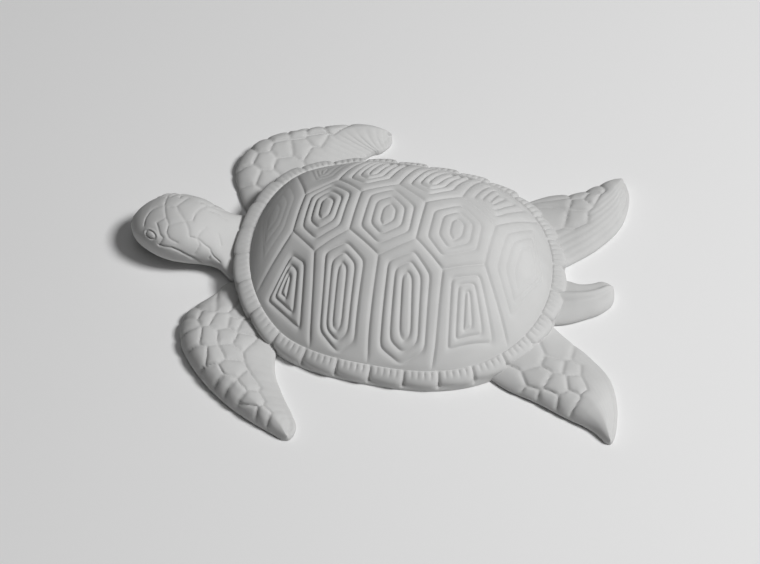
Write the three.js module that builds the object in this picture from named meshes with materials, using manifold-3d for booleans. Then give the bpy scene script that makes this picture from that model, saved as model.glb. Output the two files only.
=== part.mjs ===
// Sea turtle plaque in pale unglazed ceramic, cast in one piece and lying on its flat underside.
// Millimetres, +Z up. The head points along -X, the tail along +X, and the turtle's left side is -Y.
// Every form is worked out around the top of the shell; at the end the turtle is moved so that the
// origin is under the middle of its box.

import * as THREE from 'three';
import { mergeVertices } from 'three/addons/utils/BufferGeometryUtils.js';
import Module from 'manifold-3d';

const wasm = await Module();
wasm.setup();

// Shell dome, from the crease where it meets the margin up to its top
const creaseHeight = 11;
const domeRise = 40.4;
const domeHalfWidth = 72.9;
const domeFrontLength = 79.7;
const domeRearLength = 86.2;
const domeFrontPower = 2.8;
const domeRearPower = 2.7;

// Shell plates: a row of five down the middle and four on each side, each with growth rings
const spineStations = [-55.5, -40, -23.5, -5, 12.7, 31, 52];
const spineNarrow = 14;
const spineWide = 26.7;
const frontPlateCreaseX = -68.5;
const rearPlateCreaseX = 71.5;
const sideSeamCreaseX = [-32.5, 0, 34.5];
// First ring and core of each plate, corner by corner in the order of its outline
const middleRings = [
  [[-50.4, -11.8], [-40.6, -20.3], [-29, -11.9], [-29.2, 12], [-41.5, 20.6], [-51, 12]],
  [[-18, -11.6], [-6.4, -20.6], [8, -10.8], [7.5, 8.4], [-6, 20.4], [-17.5, 11.5]],
  [[18.8, -11.4], [29.2, -20], [46.2, -8.6], [45.4, 8.6], [31.8, 18], [18.6, 8]],
];
const middleCores = [
  [[-42.8, -4.9], [-40, -8], [-36.6, -5], [-36.6, 5.5], [-40.7, 9.4], [-43.6, 6.5]],
  [[-8.7, -6.2], [-6.3, -9.6], [-1.4, -4.8], [-1.6, 2.7], [-5.2, 7.1], [-8.6, 2.6]],
  [[29.5, -5], [33, -9], [36.5, -4.1], [36.3, 3.8], [31.8, 6.5], [29.4, 3.6]],
];
const frontRing = [[-61, 11.6], [-68.4, 28], [-76.6, 0], [-68.4, -28], [-61, -11.6]];
const frontCore = [[-67.6, 4.6], [-71.6, 11], [-74, 0], [-71.6, -11], [-67.6, -4.6]];
const rearRing = [[58.6, -12.4], [70.3, -32.2], [82.4, 0], [70.3, 32.2], [58.6, 12.4]];
const rearCore = [[67.4, -8], [71.3, -17.4], [78.6, 0], [71.3, 17.4], [67.4, 8]];
const sideRings = [
  [[-53, 26.3], [-44.5, 32.2], [-39.7, 62.6], [-61.9, 46.3]],
  [[-33.4, 27.9], [-23, 21.8], [-11.7, 31], [-8.4, 65.6], [-16.8, 71.2], [-28.2, 63.4]],
  [[0.9, 29.1], [13.4, 21.5], [24.9, 31.4], [28.5, 63.8], [18, 71.2], [5.7, 66.3]],
  [[36.7, 29.3], [50.6, 21.3], [63.4, 48.7], [40.6, 60.3]],
];
const sideCores = [
  [[-52.4, 35.7], [-50.8, 38.3], [-51.2, 47.7], [-54.8, 44.6]],
  [[-24.6, 35.8], [-22.9, 32.6], [-19.8, 35.4], [-17, 60], [-18.6, 62.7], [-21.8, 61]],
  [[10.2, 35], [12.7, 32.3], [15.6, 35], [20.2, 59.1], [17.4, 62], [14.4, 59.3]],
  [[45, 33.3], [47.1, 31.9], [51.5, 47.3], [47.3, 50.6]],
];
const coreCrownShare = 0.45;
const grooveDepth = 1.1;
const plateStep = 11;

// Margin round the shell: a row of overlapping plates, each stepping out towards its rear end
const marginCount = 28;
const marginPlaces = [0.02, 0.3, 0.65, 0.96];
const marginProfile = [[1.2, 11], [4.2, 10.6], [6.9, 9.6], [8.4, 8.4], [8.9, 7], [8.4, 3.8], [7.4, -2]];
const marginReach = 8.9;
const marginTopRows = 5;
const marginStepIn = 0.24;
const marginLift = 0.5;

// Flippers: paired edge stations from inside the shell to the tip, and heights at those stations
const frontLeft = {
  leading: [[-66, -28], [-87, -33], [-96, -43], [-106, -57], [-103.5, -75], [-89.6, -93], [-67.4, -109.8],
    [-44, -122], [-34.5, -123.5]],
  trailing: [[-40, -20], [-44, -40], [-46, -58], [-47, -72], [-47.2, -86], [-39.5, -97], [-31.2, -107.5],
    [-27.8, -116], [-34.5, -123.5]],
  leadHeight: [5, 5, 7, 9.5, 11, 11, 10, 8.5, 6],
  trailHeight: [3.5, 3.5, 3.5, 4.5, 5, 5, 4.8, 4.8, 5],
  crown: 0.6,
  rows: 9,
};
const frontRight = {
  leading: [[-66, 22], [-91, 23], [-101, 36.5], [-108.3, 54], [-104, 71], [-90, 83.6], [-68, 95.2],
    [-42, 101.2], [-24.6, 98.6]],
  trailing: [[-40, 18], [-44, 36], [-46, 52], [-43, 66], [-38.5, 77], [-33, 84.5], [-27.5, 89.6], [-22.6, 94],
    [-24.6, 98.6]],
  leadHeight: [5, 5, 7, 9.5, 11, 11, 10, 8.5, 6],
  trailHeight: [3.5, 3.5, 3.5, 4.5, 5, 5, 4.8, 4.8, 5],
  crown: 0.6,
  rows: 9,
};
const rearLeft = {
  leading: [[46, -46], [60, -58], [74, -66], [91, -71.2], [108, -77.6], [123, -82.4], [134, -88.3]],
  trailing: [[66, -6], [82, -12], [98.5, -24.5], [115, -36], [128, -48.8], [135.2, -71], [134, -88.3]],
  leadHeight: [6, 6, 8, 10.5, 11, 9, 6],
  trailHeight: [4, 4, 4.5, 5, 5, 5, 5],
  crown: 0.6,
  rows: 6,
};
const rearRight = {
  leading: [[46, 46], [57, 62.5], [72, 73.5], [88, 78.6], [100, 86], [108, 91.2], [113.5, 92]],
  trailing: [[64, 6], [80, 15], [93.5, 27], [106.5, 41], [117.3, 57], [120.6, 78.5], [113.5, 92]],
  leadHeight: [6, 6, 8, 10.5, 10, 8, 6],
  trailHeight: [4, 4, 4.5, 5, 5, 5, 5],
  crown: 0.6,
  rows: 6,
};
const tail = {
  leading: [[70, -22], [84, -19], [98, -15.5], [108, -9.7], [116, -3.6], [121, 4.5], [119.5, 14.5]],
  trailing: [[70, 15], [84, 15], [95, 13.5], [101, 12.5], [107, 14.3], [113, 17.3], [119.5, 14.5]],
  leadHeight: [6, 6, 6, 6, 6, 6, 5],
  trailHeight: [6, 6, 6, 6, 6, 6, 5],
  crown: 4.5,
  rows: 4,
};
const limbStepsPerRow = 2;
const limbEdgeRound = 3;
const limbUndercut = 2;
const limbAcross = [0.16, 0.29, 0.31, 0.45, 0.6, 0.78];
const scaleDepth = 0.7;
const rowSeamDepth = 0.6;
const belowGround = -2;

// Head and neck: stations from inside the shell to the snout
const headStations = [
  -66, -80, -88, -92, -96, -101, -107, -114, -122, -129, -135, -140.5, -145, -148.5, -151,
];
const headMiddleY = [-2, -4, -5.7, -6.2, -6.5, -6.6, -6.6, -6.6, -6.6, -6.6, -6.6, -6.6, -6.4, -6, -5.6];
const headHalfWidth = [19, 24, 23.6, 22.4, 20.2, 19.2, 19.4, 20.4, 20.8, 20, 18, 15.2, 12, 8.2, 4];
const headTop = [5, 5, 5.5, 9, 14, 19.5, 24.5, 27.6, 28.6, 28.4, 27, 24.6, 21.6, 18.4, 15];
const headMiddleZ = [3, 3, 3.5, 5.5, 8.5, 11, 13, 14.5, 15.6, 16, 16, 15.6, 14.6, 13, 11];
const headBottom = [-4, -4, -4, -3.5, -2.5, -1.5, -0.5, 0.2, 0.6, 1, 1.6, 2.4, 3.4, 5, 7];
const headRound = 0.86;
const headAngles = [
  0, 9, 22, 38, 56, 74, 90, 106, 124, 142, 158, 171, 180, 189, 210, 240, 270, 300, 330, 351,
];
const mouthStart = 6;
const mouthDepth = 1.1;
const eyeX = -136;
const eyeOut = 13.4;
const eyeZ = 21.6;
const eyeRadius = 3.4;

// Unglazed ceramic
const ceramicColour = 0xc9c8c5;
const ceramicRoughness = 0.82;

// Small sums used by every form
function mix(a, b, share) {
  return a + (b - a) * share;
}

function along(values, share) {
  const place = Math.min(Math.max(share, 0), 1) * (values.length - 1);
  const index = Math.min(Math.floor(place), values.length - 2);
  return mix(values[index], values[index + 1], place - index);
}

// A surface is a list of points and a list of triangles
function newSurface() {
  return { points: [], faces: [], creasePoints: new Set() };
}

function addPoint(surface, x, y, z) {
  surface.points.push(x, y, z);
  return surface.points.length / 3 - 1;
}

function addQuadBand(surface, first, second) {
  const count = first.length;
  for (let i = 0; i < count; i += 1) {
    const next = (i + 1) % count;
    surface.faces.push(first[i], first[next], second[next]);
    surface.faces.push(first[i], second[next], second[i]);
  }
}

function addFan(surface, loop, centre) {
  for (let i = 0; i < loop.length; i += 1) {
    surface.faces.push(loop[i], loop[(i + 1) % loop.length], centre);
  }
}

function solidFromSurface(surface) {
  return new wasm.Manifold(new wasm.Mesh({
    numProp: 3,
    vertProperties: new Float32Array(surface.points),
    triVerts: new Uint32Array(surface.faces),
  }));
}

function solidFromGeometry(geometry) {
  geometry.deleteAttribute('normal');
  geometry.deleteAttribute('uv');
  const merged = mergeVertices(geometry, 1e-4);
  return new wasm.Manifold(new wasm.Mesh({
    numProp: 3,
    vertProperties: new Float32Array(merged.attributes.position.array),
    triVerts: new Uint32Array(merged.index.array),
  }));
}

// Dome of the shell
function domeLength(x) {
  return x < 0 ? domeFrontLength : domeRearLength;
}

function domePower(x) {
  return x < 0 ? domeFrontPower : domeRearPower;
}

function domePoint(x, y, depth) {
  const length = domeLength(x);
  const power = domePower(x);
  const share = Math.abs(x / length);
  const height = creaseHeight + domeRise * (1 - share ** power - (y / domeHalfWidth) ** 2);
  const slopeX = domeRise * power * share ** (power - 1) * Math.sign(x) / length;
  const slopeY = 2 * domeRise * y / domeHalfWidth ** 2;
  const normal = new THREE.Vector3(slopeX, slopeY, 1).normalize();
  return new THREE.Vector3(x, y, height).addScaledVector(normal, -depth);
}

function creaseY(x, side) {
  return side * domeHalfWidth * Math.sqrt(Math.max(0, 1 - Math.abs(x / domeLength(x)) ** domePower(x)));
}

function creaseX(y, end) {
  return end * domeLength(end) * Math.max(0, 1 - (y / domeHalfWidth) ** 2) ** (1 / domePower(end));
}

// One shell plate: its border, its first ring, a ring halfway in, and its core with a raised middle.
// A corner has its place on the border, what the edge after it follows, and its places on ring and core.
function mixPoints(a, b, share) {
  return [mix(a[0], b[0], share), mix(a[1], b[1], share)];
}

function plateBorder(corners) {
  const border = [];
  corners.forEach((corner, i) => {
    const next = corners[(i + 1) % corners.length];
    const [x0, y0] = corner.place;
    const [x1, y1] = next.place;
    const steps = Math.max(2, Math.ceil(Math.hypot(x1 - x0, y1 - y0) / plateStep));
    for (let k = 0; k < steps; k += 1) {
      let [x, y] = mixPoints(corner.place, next.place, k / steps);
      if (corner.edge === 'side') {
        y = creaseY(x, Math.sign(y0 + y1));
      } else if (corner.edge === 'end') {
        x = creaseX(y, Math.sign(x0 + x1));
      }
      const ring = mixPoints(corner.ring, next.ring, k / steps);
      const core = mixPoints(corner.core, next.core, k / steps);
      border.push([[x, y], ring, mixPoints(ring, core, 0.5), core]);
    }
  });
  return border;
}

function addBorderPoint(surface, shared, [x, y]) {
  const key = `${x.toFixed(3)} ${y.toFixed(3)}`;
  if (!shared.has(key)) {
    const spot = domePoint(x, y, grooveDepth);
    shared.set(key, addPoint(surface, spot.x, spot.y, spot.z));
  }
  if (Math.abs(1 - Math.abs(x / domeLength(x)) ** domePower(x) - (y / domeHalfWidth) ** 2) < 1e-6) {
    surface.creasePoints.add(shared.get(key));
  }
  return shared.get(key);
}

function addPlate(surface, shared, corners) {
  const border = plateBorder(corners);
  const focus = [0, 1].map((axis) => corners.reduce((sum, { core }) => sum + core[axis], 0) / corners.length);
  const loops = [
    [0, 0.5, 0, 0], [1, 0, grooveDepth, 0], [1, 0.5, 0, 0], [2, 0, grooveDepth, 0], [2, 0.5, 0, 0],
    [2, 1, grooveDepth, 0], [2, 1, 0, coreCrownShare],
  ];
  let previous = border.map((rings) => addBorderPoint(surface, shared, rings[0]));
  for (const [band, share, depth, inward] of loops) {
    const loop = border.map((rings) => {
      const [x, y] = mixPoints(mixPoints(rings[band], rings[band + 1], share), focus, inward);
      const spot = domePoint(x, y, depth);
      return addPoint(surface, spot.x, spot.y, spot.z);
    });
    addQuadBand(surface, previous, loop);
    previous = loop;
  }
  const top = domePoint(focus[0], focus[1], 0);
  addFan(surface, previous, addPoint(surface, top.x, top.y, top.z));
}

function plateCorners(outline, edges, ring, core) {
  return outline.map((place, i) => ({ place, edge: edges[i], ring: ring[i], core: core[i] }));
}

function addMiddlePlates(surface, shared) {
  const x = spineStations;
  const seams = ['seam', 'seam', 'seam', 'seam', 'seam', 'seam'];
  for (let i = 0; i < middleRings.length; i += 1) {
    const [before, widest, after] = x.slice(2 * i, 2 * i + 3);
    const outline = [
      [before, -spineNarrow], [widest, -spineWide], [after, -spineNarrow],
      [after, spineNarrow], [widest, spineWide], [before, spineNarrow],
    ];
    addPlate(surface, shared, plateCorners(outline, seams, middleRings[i], middleCores[i]));
  }
  const last = x.length - 1;
  const frontY = creaseY(frontPlateCreaseX, 1);
  const rearY = creaseY(rearPlateCreaseX, 1);
  const edges = ['seam', 'end', 'end', 'seam', 'seam'];
  const front = [
    [x[0], spineNarrow], [frontPlateCreaseX, frontY], [creaseX(0, -1), 0], [frontPlateCreaseX, -frontY],
    [x[0], -spineNarrow],
  ];
  const rear = [
    [x[last], -spineNarrow], [rearPlateCreaseX, -rearY], [creaseX(0, 1), 0], [rearPlateCreaseX, rearY],
    [x[last], spineNarrow],
  ];
  addPlate(surface, shared, plateCorners(front, edges, frontRing, frontCore));
  addPlate(surface, shared, plateCorners(rear, edges, rearRing, rearCore));
}

function mirrored([x, y]) {
  return [x, -y];
}

function addSidePlates(surface, shared) {
  const x = spineStations;
  const seams = [frontPlateCreaseX, ...sideSeamCreaseX, rearPlateCreaseX];
  const upper = [
    [[x[0], spineNarrow], [x[1], spineWide]],
    [[x[1], spineWide], [x[2], spineNarrow], [x[3], spineWide]],
    [[x[3], spineWide], [x[4], spineNarrow], [x[5], spineWide]],
    [[x[5], spineWide], [x[6], spineNarrow]],
  ];
  for (let i = 0; i < upper.length; i += 1) {
    const middle = upper[i].length === 3 ? [(seams[i] + seams[i + 1]) / 2] : [];
    const lower = [seams[i + 1], ...middle, seams[i]].map((cx) => [cx, creaseY(cx, 1)]);
    const outline = [...upper[i], ...lower];
    const last = outline.length - 1;
    const edges = outline.map((corner, k) => (k >= upper[i].length && k < last ? 'side' : 'seam'));
    const corners = plateCorners(outline, edges, sideRings[i], sideCores[i]);
    addPlate(surface, shared, corners);
    const opposite = corners.map((corner, k) => {
      const { place, ring, core } = corners[last - k];
      const edge = edges[(2 * last - k) % (last + 1)];
      return { place: mirrored(place), edge, ring: mirrored(ring), core: mirrored(core) };
    });
    addPlate(surface, shared, opposite);
  }
}

// The crease as a closed curve with even steps along its length, from the middle of the rear
function creaseCurve() {
  const samples = 1440;
  const points = [];
  for (let i = 0; i < samples; i += 1) {
    const angle = 2 * Math.PI * i / samples;
    const x = Math.sign(Math.cos(angle)) * Math.abs(Math.cos(angle)) ** (2 / domePower(Math.cos(angle)));
    points.push(new THREE.Vector3(x * domeLength(x), domeHalfWidth * Math.sin(angle), 0));
  }
  points.push(points[0].clone());
  const lengths = [0];
  for (let i = 1; i <= samples; i += 1) {
    lengths.push(lengths[i - 1] + points[i].distanceTo(points[i - 1]));
  }
  return { points, lengths };
}

function creaseSpot(curve, share) {
  const total = curve.lengths[curve.lengths.length - 1];
  const wanted = (share - Math.floor(share)) * total;
  let i = 1;
  while (curve.lengths[i] < wanted) {
    i += 1;
  }
  const step = (wanted - curve.lengths[i - 1]) / (curve.lengths[i] - curve.lengths[i - 1]);
  const spot = curve.points[i - 1].clone().lerp(curve.points[i], step);
  const run = curve.points[i].clone().sub(curve.points[i - 1]).normalize();
  return { spot, outward: new THREE.Vector3(run.y, -run.x, 0) };
}

function turnOf(surface, index) {
  const turn = Math.atan2(surface.points[3 * index + 1], surface.points[3 * index]);
  return turn < -1e-9 ? turn + 2 * Math.PI : turn;
}

// Joins two closed loops that have different numbers of points, both in order round the shell
function zipLoops(surface, outer, inner) {
  const outerTurns = outer.map((index) => turnOf(surface, index));
  const innerTurns = inner.map((index) => turnOf(surface, index));
  outerTurns.push(outerTurns[0] + 2 * Math.PI);
  innerTurns.push(innerTurns[0] + 2 * Math.PI);
  let i = 0;
  let j = 0;
  while (i < outer.length || j < inner.length) {
    const a = outer[i % outer.length];
    const b = inner[j % inner.length];
    const stepOuter = j === inner.length || (i < outer.length && outerTurns[i + 1] <= innerTurns[j + 1]);
    if (stepOuter) {
      surface.faces.push(a, outer[(i + 1) % outer.length], b);
      i += 1;
    } else {
      surface.faces.push(a, inner[(j + 1) % inner.length], b);
      j += 1;
    }
  }
}

function addMargin(surface) {
  const curve = creaseCurve();
  const loops = marginProfile.map(([out, height], row) => {
    const loop = [];
    const stepping = row < marginTopRows ? out / marginReach : 0;
    for (let plate = 0; plate < marginCount; plate += 1) {
      const rightSide = plate < marginCount / 2;
      for (let k = 0; k < marginPlaces.length; k += 1) {
        const rearward = rightSide ? marginPlaces[marginPlaces.length - 1 - k] : marginPlaces[k];
        const within = rightSide ? 1 - rearward : rearward;
        const { spot, outward } = creaseSpot(curve, (plate + within) / marginCount);
        const far = out * (1 - marginStepIn * stepping * (1 - rearward) ** 2.2);
        const low = height + marginLift * stepping * (rearward - 0.6);
        loop.push(addPoint(surface, spot.x + outward.x * far, spot.y + outward.y * far, low));
      }
    }
    return loop;
  });
  const crease = [...surface.creasePoints];
  crease.sort((a, b) => turnOf(surface, a) - turnOf(surface, b));
  zipLoops(surface, loops[0], crease);
  for (let row = 1; row < loops.length; row += 1) {
    addQuadBand(surface, loops[row], loops[row - 1]);
  }
  const last = loops[loops.length - 1];
  addFan(surface, [...last].reverse(), addPoint(surface, 0, 0, belowGround));
}

function makeShell() {
  const surface = newSurface();
  const shared = new Map();
  addMiddlePlates(surface, shared);
  addSidePlates(surface, shared);
  addMargin(surface);
  return solidFromSurface(surface);
}

// A flipper or the tail: sections from its leading edge over the top to its trailing edge
function edgeCurve(stations) {
  return new THREE.CatmullRomCurve3(stations.map(([x, y]) => new THREE.Vector3(x, y, 0)));
}

function makeLimb(limb) {
  const surface = newSurface();
  const leading = edgeCurve(limb.leading);
  const trailing = edgeCurve(limb.trailing);
  const stations = limb.rows * limbStepsPerRow + 2;
  const run = leading.getPoint(0.5).sub(leading.getPoint(0));
  const turnsLeft = run.cross(trailing.getPoint(0.5).sub(leading.getPoint(0.5))).z > 0;
  const loops = [];
  for (let i = 0; i <= stations; i += 1) {
    const share = 0.985 * i / stations;
    const start = leading.getPoint(share);
    const end = trailing.getPoint(share);
    const width = start.distanceTo(end);
    const round = Math.min(limbEdgeRound, width * 0.22);
    const lead = along(limb.leadHeight, share);
    const trail = along(limb.trailHeight, share);
    const swell = limb.crown * Math.min(1, width / 20);
    const section = [
      [Math.min(limbUndercut, width * 0.1), belowGround], [0, lead * 0.4], [round * 0.25, lead * 0.76],
      [round, lead * 0.96],
    ];
    limbAcross.forEach((across, row) => {
      const inside = mix(round, width - round, across);
      const inFirstRow = row === 0 && i % 2 === 0;
      const inSecondRow = row === 3 && i % 2 === 1;
      const seam = row === 1 || row === 2 ? rowSeamDepth : 0;
      const cut = seam + (inFirstRow || inSecondRow ? scaleDepth : 0);
      const height = mix(lead, trail, across ** 0.9) + swell * (1 - (2 * across - 1) ** 2) - cut;
      section.push([inside, height]);
    });
    section.push([width - round, trail], [width - round * 0.25, trail * 0.7], [width, trail * 0.36]);
    section.push([width - Math.min(limbUndercut, width * 0.1), belowGround]);
    const loop = section.map(([across, height]) => {
      const spot = start.clone().lerp(end, across / width);
      return addPoint(surface, spot.x, spot.y, height);
    });
    loops.push(turnsLeft ? loop.reverse() : loop);
  }
  for (let i = 1; i < loops.length; i += 1) {
    addQuadBand(surface, loops[i - 1], loops[i]);
  }
  const tip = leading.getPoint(1);
  const tipHeight = along(limb.leadHeight, 1) * 0.4;
  const root = leading.getPoint(0).lerp(trailing.getPoint(0), 0.5);
  addFan(surface, loops[loops.length - 1], addPoint(surface, tip.x, tip.y, tipHeight));
  addFan(surface, [...loops[0]].reverse(), addPoint(surface, root.x, root.y, tipHeight));
  return solidFromSurface(surface);
}

// Head and neck: rounded sections with the line of the mouth cut into both sides
function makeHead() {
  const surface = newSurface();
  const loops = headStations.map((x, i) => headAngles.map((degrees) => {
    const angle = degrees * Math.PI / 180;
    const onMouth = (degrees === 0 || degrees === 180) && i >= mouthStart;
    const breadth = headHalfWidth[i] - (onMouth ? mouthDepth : 0);
    const side = Math.sign(Math.cos(angle)) * Math.abs(Math.cos(angle)) ** headRound;
    const lift = Math.sign(Math.sin(angle)) * Math.abs(Math.sin(angle)) ** headRound;
    const reach = lift > 0 ? headTop[i] - headMiddleZ[i] : headMiddleZ[i] - headBottom[i];
    return addPoint(surface, x, headMiddleY[i] - breadth * side, headMiddleZ[i] + reach * lift);
  }));
  for (let i = 1; i < loops.length; i += 1) {
    addQuadBand(surface, loops[i - 1], loops[i]);
  }
  const last = loops.length - 1;
  const snout = addPoint(surface, headStations[last] - 1, headMiddleY[last], headMiddleZ[last]);
  const root = addPoint(surface, headStations[0], headMiddleY[0], headMiddleZ[0]);
  addFan(surface, loops[last], snout);
  addFan(surface, [...loops[0]].reverse(), root);
  return solidFromSurface(surface);
}

function makeEye(side) {
  const ball = new THREE.IcosahedronGeometry(eyeRadius, 1);
  ball.scale(1.25, 1, 0.9);
  ball.translate(eyeX, headMiddleY[10] + side * eyeOut, eyeZ);
  return solidFromGeometry(ball);
}

function makeTurtle() {
  const ground = new THREE.BoxGeometry(400, 400, 20);
  ground.translate(0, 0, -10);
  let body = makeShell();
  for (const limb of [frontLeft, frontRight, rearLeft, rearRight, tail]) {
    body = body.add(makeLimb(limb));
  }
  body = body.add(makeHead()).add(makeEye(1)).add(makeEye(-1));
  return body.subtract(solidFromGeometry(ground));
}

function geometryFromSolid(solid) {
  const mesh = solid.getMesh();
  const geometry = new THREE.BufferGeometry();
  const count = mesh.vertProperties.length / mesh.numProp;
  const positions = new Float32Array(count * 3);
  for (let i = 0; i < count; i += 1) {
    positions.set(mesh.vertProperties.subarray(i * mesh.numProp, i * mesh.numProp + 3), i * 3);
  }
  geometry.setAttribute('position', new THREE.BufferAttribute(positions, 3));
  geometry.setIndex(new THREE.BufferAttribute(new Uint32Array(mesh.triVerts), 1));
  geometry.computeBoundingBox();
  const middle = geometry.boundingBox.getCenter(new THREE.Vector3());
  geometry.translate(-middle.x, -middle.y, 0);
  geometry.computeVertexNormals();
  return geometry;
}

const ceramic = new THREE.MeshStandardMaterial({
  color: ceramicColour,
  roughness: ceramicRoughness,
  metalness: 0,
});
const turtle = new THREE.Mesh(geometryFromSolid(makeTurtle()), ceramic);
turtle.name = 'sea_turtle';

const group = new THREE.Group();
group.add(turtle);

export default group;
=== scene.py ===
"""Looks of the ceramic sea turtle plaque: carved casting, bisque surface, floor, light and camera.

The forms are worked out in millimetres round the top of the shell, with the head along -X and the turtle's
left side along -Y, and are then moved to the part's own frame in metres.
"""

import math

import bpy
import numpy as np
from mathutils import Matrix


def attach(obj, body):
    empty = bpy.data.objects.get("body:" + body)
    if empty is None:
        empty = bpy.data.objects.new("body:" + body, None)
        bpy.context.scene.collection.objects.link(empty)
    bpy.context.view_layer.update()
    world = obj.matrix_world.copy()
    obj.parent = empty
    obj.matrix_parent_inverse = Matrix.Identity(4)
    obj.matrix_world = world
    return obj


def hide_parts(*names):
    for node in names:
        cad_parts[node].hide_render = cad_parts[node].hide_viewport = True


# Place of the top of the shell in the part's frame, in millimetres
SHELL_X = 8.341
SHELL_Y = 11.143

# Shell dome
CREASE_HEIGHT = 11.0
DOME_RISE = 40.4
DOME_HALF_WIDTH = 72.9
DOME_FRONT = 80.7
DOME_REAR = 86.2
DOME_FRONT_POWER = 2.8
DOME_REAR_POWER = 2.7
FRONT_LIFT = 8.0
LIFT_FROM = -44.0
LIFT_TO = -80.0
WORN_FRONT = 0.5
WORN_FROM = -54.0
WORN_RUN = 14.0
CREASE_SHARPNESS = 0.3
CREASE_GAIN = 0.7
CREASE_EASE = 9.0
CREASE_POINTS = 7201
CREASE_PROBE = 0.4

# Shell plates: seams between them, then the first ring and the core of each, corner by corner
SPINE_STATIONS = (-55.5, -40.0, -23.5, -5.0, 12.7, 31.0, 52.0)
SPINE_NARROW = 14.0
SPINE_WIDE = 26.7
FRONT_PLATE_CREASE = -68.5
REAR_PLATE_CREASE = 71.5
SIDE_SEAMS = (-32.5, 0.0, 34.5)
MIDDLE_RINGS = (
    ((-50.4, -11.8), (-40.6, -20.3), (-29.0, -11.9), (-29.2, 12.0), (-41.5, 20.6), (-51.0, 12.0)),
    ((-18.0, -11.6), (-6.4, -20.6), (8.0, -10.8), (7.5, 8.4), (-6.0, 20.4), (-17.5, 11.5)),
    ((18.8, -11.4), (29.2, -20.0), (46.2, -8.6), (45.4, 8.6), (31.8, 18.0), (18.6, 8.0)),
)
MIDDLE_CORES = (
    ((-42.8, -4.9), (-40.0, -8.0), (-36.6, -5.0), (-36.6, 5.5), (-40.7, 9.4), (-43.6, 6.5)),
    ((-8.7, -6.2), (-6.3, -9.6), (-1.4, -4.8), (-1.6, 2.7), (-5.2, 7.1), (-8.6, 2.6)),
    ((29.5, -5.0), (33.0, -9.0), (36.5, -4.1), (36.3, 3.8), (31.8, 6.5), (29.4, 3.6)),
)
FRONT_RING = ((-61.0, 11.6), (-68.4, 28.0), (-76.6, 0.0), (-68.4, -28.0), (-61.0, -11.6))
FRONT_CORE = ((-67.6, 4.6), (-71.6, 11.0), (-74.0, 0.0), (-71.6, -11.0), (-67.6, -4.6))
REAR_RING = ((58.6, -12.4), (70.3, -32.2), (82.4, 0.0), (70.3, 32.2), (58.6, 12.4))
REAR_CORE = ((67.4, -8.0), (71.3, -17.4), (78.6, 0.0), (71.3, 17.4), (67.4, 8.0))
SIDE_RINGS = (
    ((-52.7, 27.3), (-44.5, 32.2), (-39.7, 62.6), (-61.2, 49.2)),
    ((-33.4, 27.9), (-23.0, 21.8), (-11.7, 31.0), (-8.4, 65.6), (-16.8, 71.2), (-28.2, 63.4)),
    ((0.9, 29.1), (13.4, 21.5), (24.9, 31.4), (28.5, 63.8), (18.0, 71.2), (5.7, 66.3)),
    ((36.7, 29.3), (50.6, 21.3), (63.4, 48.7), (40.6, 60.3)),
)
SIDE_CORES = (
    ((-52.1, 36.7), (-50.8, 38.9), (-51.0, 48.4), (-54.5, 46.0)),
    ((-24.6, 35.8), (-22.9, 32.6), (-19.8, 35.4), (-17.0, 60.0), (-18.6, 62.7), (-21.8, 61.0)),
    ((10.2, 35.0), (12.7, 32.3), (15.6, 35.0), (20.2, 59.1), (17.4, 62.0), (14.4, 59.3)),
    ((45.0, 33.3), (47.1, 31.9), (51.5, 47.3), (47.3, 50.6)),
)
MIDDLE_CRISPNESS = (1.0, 0.9, 0.75)
FRONT_CRISPNESS = 0.22
REAR_CRISPNESS = 0.55
SIDE_CRISPNESS = (1.0, 1.1, 1.1, 0.85)
FAR_FRONT_CRISPNESS = 0.22
GROOVE_DEPTH = 1.0
GROOVE_WIDTH = 0.74
GROOVE_SHARE = 0.78
PILLOW_WIDTH = 2.2
PILLOW_SHARE = 0.22
UNEVEN_DEPTH = 0.2
UNEVEN_RATE = 1.7
WOBBLE = 0.55
WOBBLE_EASE = 4.0
CORNER_ROUNDING = (0.6, 1.6, 2.4, 3.2)
ROUNDING_REACH = 8
PLATE_STEP = 1.55
STEPS_PER_BAND = 8
CORE_STEPS = (0.1, 0.22, 0.38, 0.58, 0.8)

# Margin of overlapping plates, each with its free end towards the rear
MARGIN_COUNT = 28
MARGIN_STEPS = 30
MARGIN_ROWS = 16
MARGIN_PROFILE = (
    (0.2, 10.4), (1.3, 11.0), (4.2, 10.6), (6.9, 9.6), (8.4, 8.4), (8.9, 7.0), (8.5, 4.2), (7.9, 1.0),
    (7.4, -2.0),
)
MARGIN_REACH = 8.9
MARGIN_WIDTHS = (1.0, 0.95, 0.85, 0.76, 0.76, 0.8, 0.95, 1.08, 1.08)
MARGIN_STEPPED = (1.0, 1.0, 1.0, 1.0, 1.0, 1.0, 0.8, 0.4, 0.25)
MARGIN_DROOP = (0.5, 0.5, 1.0, 2.0, 2.4, 2.0, 1.0, 0.0, 0.0)
MARGIN_STEP_IN = 2.0
MARGIN_LIFT = 0.3
SEAM_DEPTH = 1.1
SEAM_WIDTH = 0.8
TICK_DEPTH = 0.7
TICK_WIDTH = 0.5
TICK_PLACES = (0.22, 0.41, 0.6, 0.79)
TICK_INNER = 0.6
TICK_OUTER = 6.6
TICK_EASE = 2.4
TICK_LOWEST = 8.0
SEAM_EASE = 1.2
FRONT_CUT = 0.4
FRONT_CUT_GAIN = 0.6
FRONT_CORNER_POWER = 2.2
REAR_CORNER = 0.85
REAR_CORNER_FROM = 0.72
REAR_CORNER_RUN = 0.28
REAR_CORNER_POWER = 2.4
WALL_LOW = 1.0
WALL_EASE = 5.0
LIFT_PIVOT = 0.6

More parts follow.
